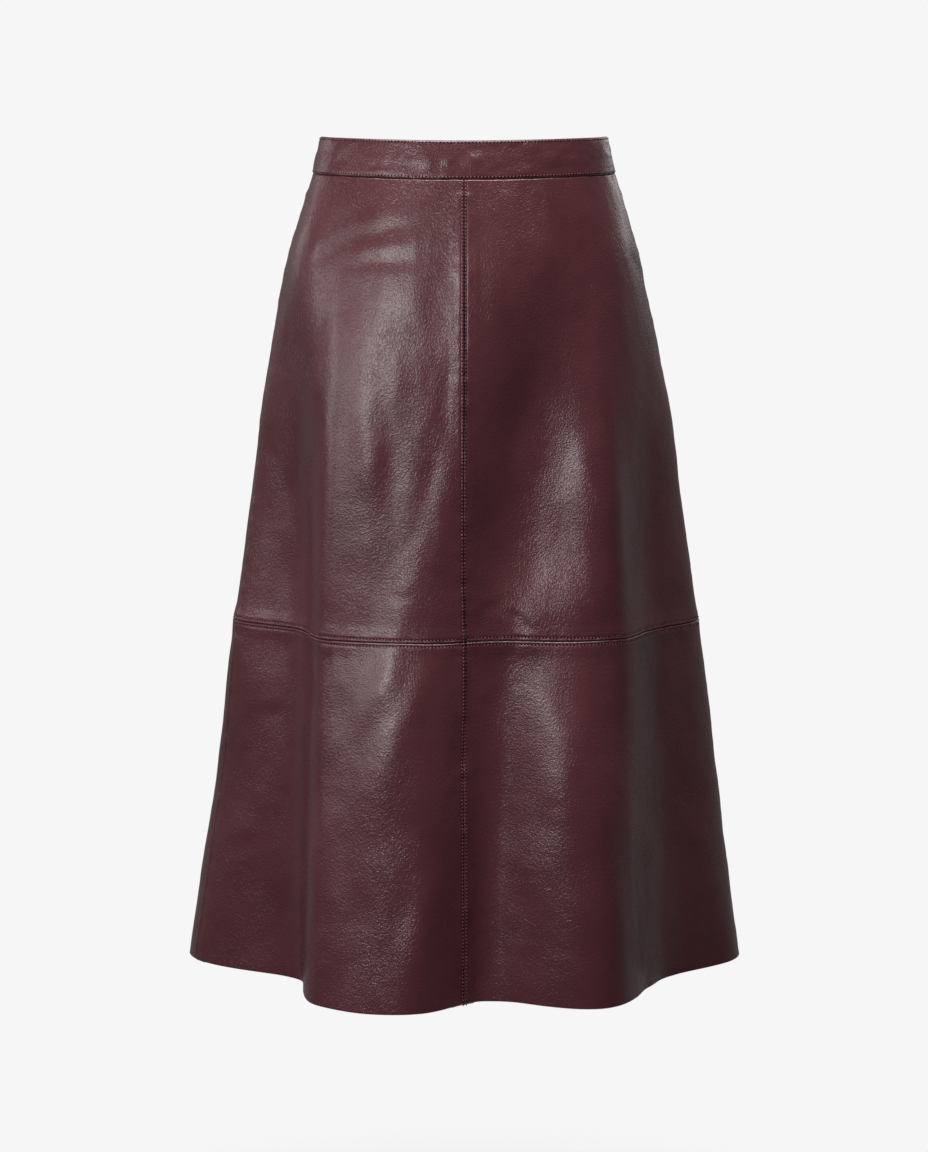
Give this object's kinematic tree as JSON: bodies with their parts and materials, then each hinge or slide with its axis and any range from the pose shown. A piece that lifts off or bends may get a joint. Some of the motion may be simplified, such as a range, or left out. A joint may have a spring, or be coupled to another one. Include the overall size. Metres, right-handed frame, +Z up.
{
  "type": "leather skirt",
  "caption": "A-line midi skirt of smooth leather with a plain waistband, a seam round it above the knee and a zip at the back, filled out as worn, hollow and open at waist and hem.",
  "frame": {"origin": "middle of the waistband, where the wearer's waist holds the skirt", "axes": "+Z up the body out of the waist, the front faces -Y, the wearer's left is +X"},
  "size_m": [0.4924, 0.4191, 0.7284],
  "materials": {
    "leather": "smooth burgundy leather, fine grain, soft shine",
    "tape": "woven zip tape dyed to match",
    "metal": "dark nickel plate"
  },
  "bodies": {
    "skirt": {"waistband_front": "leather", "waistband_back_left": "leather", "waistband_back_right": "leather", "front_upper_left": "leather", "front_upper_right": "leather", "back_upper_left": "leather", "back_upper_right": "leather", "front_lower_left": "leather", "front_lower_right": "leather", "back_lower_left": "leather", "back_lower_right": "leather", "zip_tape": "tape", "zip_slider": "metal", "zip_stop": "metal"},
    "zip_pull": {"zip_pull": "metal"}
  },
  "joints": [
    {"name": "pull_swing", "type": "hinge", "parent": "skirt", "child": "zip_pull", "pos_m": [0, 0.10299, -0.00137], "axis": [1, 0, 0], "range_deg": [0, 150]}
  ]
}
